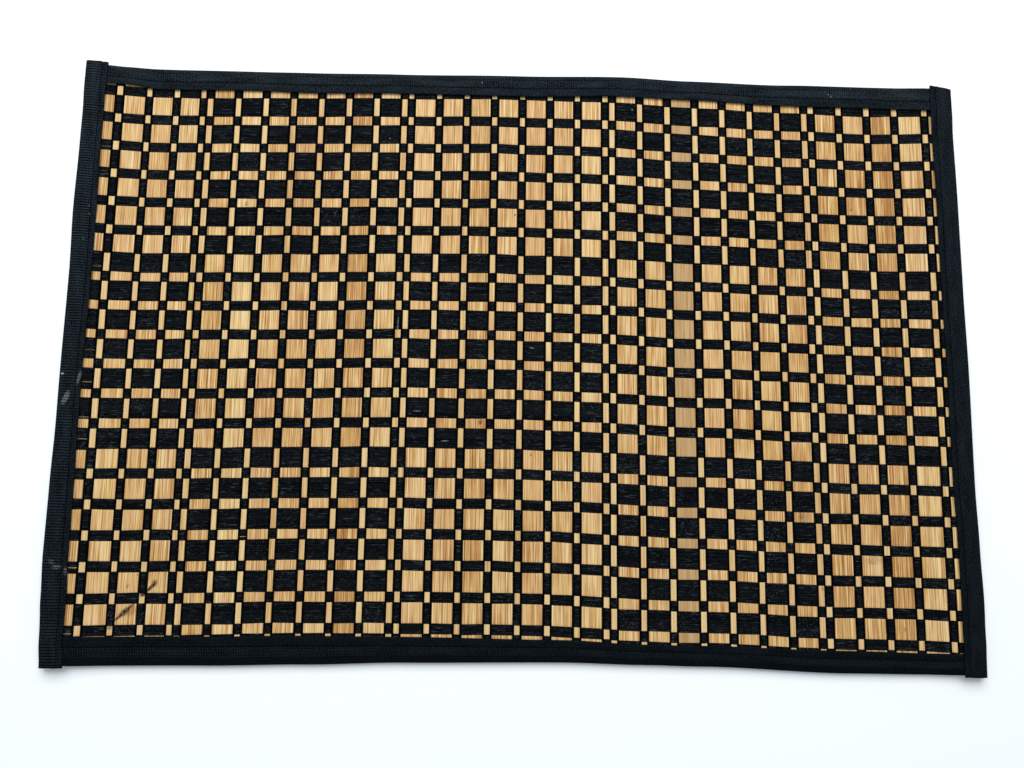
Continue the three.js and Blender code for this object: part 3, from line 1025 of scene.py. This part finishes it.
def tape_material(finish, name, edge, pitch, slant, crossing, ribbing, painted_light_share, folded=1.0):
    """Woven polyester tape: near black, with fine ribs across it that catch a dull light. Painted shade
    makes it darker in the grooves along its stitches and its crease, from the crease to the fold, towards
    the mat's near edge, and on some tapes more than on others."""
    material, tree = new_material(name)
    cloth = add(tree, "UVMap", uv_map="cloth")
    place = add(tree, "TexCoord", output="Object")
    along = add(tree, "SeparateXYZ", cloth, output="X")
    across = add(tree, "SeparateXYZ", cloth, output="Y")
    run = add(tree, "Math", across, slant, along, operation="MULTIPLY_ADD")
    rib = add(tree, "Math", together(tree, run, 2 * math.pi / pitch), operation="SINE")
    cross = add(tree, "Math", together(tree, across, 2 * math.pi / CROSS_PITCH), operation="SINE")
    weave = add(tree, "Math", cross, crossing, rib, operation="MULTIPLY_ADD")

    # The ribs come and go, and fade out on the tape's own firm edge past the stitches
    stitched = on_leaf(STITCH_OUT[edge])
    past_stitches = (stitched - 0.2, stitched + 0.3)
    come_and_go = add(tree, "MapRange", grain_of(tree, cloth, (7, 5, 1)), 0.35, 0.62, 0.25, 1.0)
    firm_edge = add(tree, "MapRange", across, *past_stitches, 1.0, 0.35)
    ribs = together(tree, come_and_go, firm_edge, ribbing, 0.3)
    worn = grain_of(tree, cloth, (0.9, 0.8, 1), detail=3.0)
    cloud = grain_of(tree, cloth, (16, 4, 1), detail=3.0)
    level = add(tree, "Math", weave, ribs, 0.38, operation="MULTIPLY_ADD")
    level = vary(tree, level, (worn, 1.9), (cloud, 1.0))
    # How much of the lit colour shows: the ribs' level, times painted shade: each tape's own share of
    # light, darker towards the mat's near edge and along the stitches' groove, and a little darker past
    # the stitches
    shares = [
        add(tree, "MapRange", level, 0.0, 1.0),
        painted_light_share,
        painted_near_falloff(tree, place, 0.54),
        painted_groove_shade(tree, across, STITCH_OUT[edge], 0.3),
        add(tree, "MapRange", across, *past_stitches, 1.0, 0.82),
    ]
    # Painted shade on the long tapes: a dark line in the crease's groove, and the tape darker from the
    # crease to the fold, where the fold turns away from the light
    if edge in CREASE_OUT:
        crease = on_leaf(CREASE_OUT[edge])
        wrinkle = grain_of(tree, cloth, (55, 55, 1), detail=0.0)
        pressed = add(tree, "MapRange", wrinkle, 0.4, 0.6, 0.25, 0.8)
        shares += [
            painted_groove_shade(tree, across, CREASE_OUT[edge], pressed),
            add(tree, "MapRange", across, crease - 0.2, crease + 0.2, folded, 1.0),
        ]
    rubbed = together(
        tree,
        add(tree, "MapRange", rib, -0.4, 0.9, 0.3, 1.0),
        add(tree, "MapRange", worn, 0.36, 0.56, 0.2, 1.0),
        marks_of(tree, place, "dust"),
    )
    colour = lay_over(
        tree, solid(finish.tape_deep), (together(tree, *shares), finish.tape_lit), (rubbed, finish.dust)
    )
    end_surface(tree, colour, weave, 0.6, depth=0.15, roughness=0.7, ior=1.5, shine=0.02)
    return material


def floor_material(stage):
    """A matt white painted board: bright and quite plain."""
    material, tree = new_material("white_painted_board")
    place = add(tree, "TexCoord", output="Object")
    grain = add(tree, "TexNoise", output="Fac", inputs={"Vector": place, "Scale": 3.0, "Detail": 2.0})
    inputs = {
        "Base Color": solid(stage.floor_colour),
        "Roughness": add(tree, "MapRange", grain, 0.0, 1.0, 0.78, 0.88),
        "IOR": 1.4,
    }
    add(tree, "OutputMaterial", inputs={"Surface": add(tree, "BsdfPrincipled", inputs=inputs)})
    return material


# The stage, in metres

FLOOR_SIZE = 1.6
FLOOR_DROP = 0.0003  # the floor lies this far below the mat, so that the two don't touch
KEY_PLACE = (-0.1, 0.9, 1.15)
KEY_SIZE = (1.6, 1.1)
FILL_PLACE = (0.3, -1.1, 1.3)
FILL_SIZE = (1.6, 1.0)

# The camera stands where a fit to the mat's four corners puts it
SENSOR_WIDTH = 36
LENS = 27.21
CAMERA_PLACE = (-0.0177, -0.05915, 0.3839)
CAMERA_TURN = (0.1217, -0.0333, 0.0148)


# Operators


class PLACEMAT_OT_weave(bpy.types.Operator):
    """Weave the bamboo slats with their bands of black thread"""

    bl_idname = "placemat.weave"
    bl_label = "Weave the panel"

    def execute(self, context):
        weave = context.scene.placemat_weave
        finish = context.scene.placemat_finish
        slats = make_slats(weave, bamboo_material(finish))
        threads = make_threads(weave, thread_material(finish, "black_cotton_thread", 1.0))
        return {"FINISHED"}


class PLACEMAT_OT_tapes(bpy.types.Operator):
    """Fold the four edge tapes and stitch them down"""

    bl_idname = "placemat.tapes"
    bl_label = "Bind the edges"

    def execute(self, context):
        tape = context.scene.placemat_tape
        finish = context.scene.placemat_finish
        rib = in_mm(tape.rib_pitch)
        twill = in_mm(tape.twill_pitch)
        # Each tape has its own share of light, painted shade that is least on the far and left tapes and
        # most on the near one, which is also painted darker from its crease to the fold
        materials = {
            "top": tape_material(
                finish, "fine_polyester_tape", "top", twill,
                slant=0.0, crossing=0.3, ribbing=0.8, painted_light_share=0.62,
            ),
            "bottom": tape_material(
                finish, "shaded_polyester_tape", "bottom", twill,
                slant=0.15, crossing=0.5, ribbing=1.7, painted_light_share=0.35, folded=0.5,
            ),
            "left": tape_material(
                finish, "ribbed_polyester_tape", "left", rib,
                slant=0.0, crossing=0.3, ribbing=2.0, painted_light_share=0.56,
            ),
            "right": tape_material(
                finish, "twilled_polyester_tape", "right", twill,
                slant=0.6, crossing=0.35, ribbing=2.2, painted_light_share=0.42,
            ),
        }
        sewing = thread_material(finish, "black_sewing_thread", 0.0)
        for edge in SIDES:
            piece = make_tape(edge, materials[edge])
            stitches = make_stitches(edge, tape, sewing)
        return {"FINISHED"}


class PLACEMAT_OT_stage(bpy.types.Operator):
    """Set the mat on a plain white board in soft light, under the camera"""

    bl_idname = "placemat.stage"
    bl_label = "Set the stage"

    def execute(self, context):
        stage = context.scene.placemat_stage
        self.lay_floor(context, stage)
        self.hang_light(context, "key", KEY_PLACE, KEY_SIZE, stage.key_power)
        self.hang_light(context, "fill", FILL_PLACE, FILL_SIZE, stage.fill_power)
        world = bpy.data.worlds.new("soft_room")
        context.scene.world = world
        world.use_nodes = True
        background = world.node_tree.nodes["Background"]
        background.inputs["Color"].default_value = solid(stage.sky_colour)
        background.inputs["Strength"].default_value = stage.sky
        context.scene.view_settings.view_transform = "Standard"
        self.place_camera(context)
        return {"FINISHED"}

    def lay_floor(self, context, stage):
        board = bmesh.new()
        bmesh.ops.create_grid(board, x_segments=4, y_segments=4, size=FLOOR_SIZE)
        bmesh.ops.translate(board, verts=board.verts, vec=(0, 0, -FLOOR_DROP))
        mesh = bpy.data.meshes.new("floor")
        board.to_mesh(mesh)
        board.free()
        mesh.materials.append(floor_material(stage))
        floor = bpy.data.objects.new("floor", mesh)
        context.scene.collection.objects.link(floor)

    def hang_light(self, context, name, place, size, power):
        data = bpy.data.lights.new(name, "AREA")
        data.shape = "RECTANGLE"
        data.size, data.size_y = size
        data.energy = power
        light = bpy.data.objects.new(name, data)
        _, y, z = place
        light.location = place
        light.rotation_euler = (-math.atan2(y, z), 0, 0)
        context.scene.collection.objects.link(light)

    def place_camera(self, context):
        data = bpy.data.cameras.new("camera")
        data.sensor_width = SENSOR_WIDTH
        data.sensor_fit = "HORIZONTAL"
        data.lens = LENS
        data.clip_start = 0.01
        camera = bpy.data.objects.new("camera", data)
        camera.location = CAMERA_PLACE
        camera.rotation_euler = CAMERA_TURN
        context.scene.collection.objects.link(camera)
        context.scene.camera = camera


class PLACEMAT_PT_panel(bpy.types.Panel):
    """The placemat's pieces, in the order they are made"""

    bl_idname = "PLACEMAT_PT_panel"
    bl_label = "Placemat"
    bl_space_type = "VIEW_3D"
    bl_region_type = "UI"
    bl_category = "Placemat"

    def draw(self, context):
        for group in GROUPS:
            box = self.layout.box()
            settings = getattr(context.scene, group)
            for name in settings.__annotations__:
                box.prop(settings, name)
        for operator in OPERATORS:
            self.layout.operator(operator.bl_idname)


GROUPS = {
    "placemat_weave": PlacematWeave,
    "placemat_tape": PlacematTape,
    "placemat_finish": PlacematFinish,
    "placemat_stage": PlacematStage,
}
OPERATORS = (PLACEMAT_OT_weave, PLACEMAT_OT_tapes, PLACEMAT_OT_stage)


def register():
    for name, group in GROUPS.items():
        bpy.utils.register_class(group)
        setattr(bpy.types.Scene, name, PointerProperty(type=group))
    for operator in OPERATORS:
        bpy.utils.register_class(operator)
    bpy.utils.register_class(PLACEMAT_PT_panel)


def unregister():
    bpy.utils.unregister_class(PLACEMAT_PT_panel)
    for operator in reversed(OPERATORS):
        bpy.utils.unregister_class(operator)
    for name, group in GROUPS.items():
        delattr(bpy.types.Scene, name)
        bpy.utils.unregister_class(group)


def main():
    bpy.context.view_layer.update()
    register()
    bpy.ops.placemat.weave()
    bpy.ops.placemat.tapes()
    bpy.ops.placemat.stage()


if __name__ == "__main__":
    main()
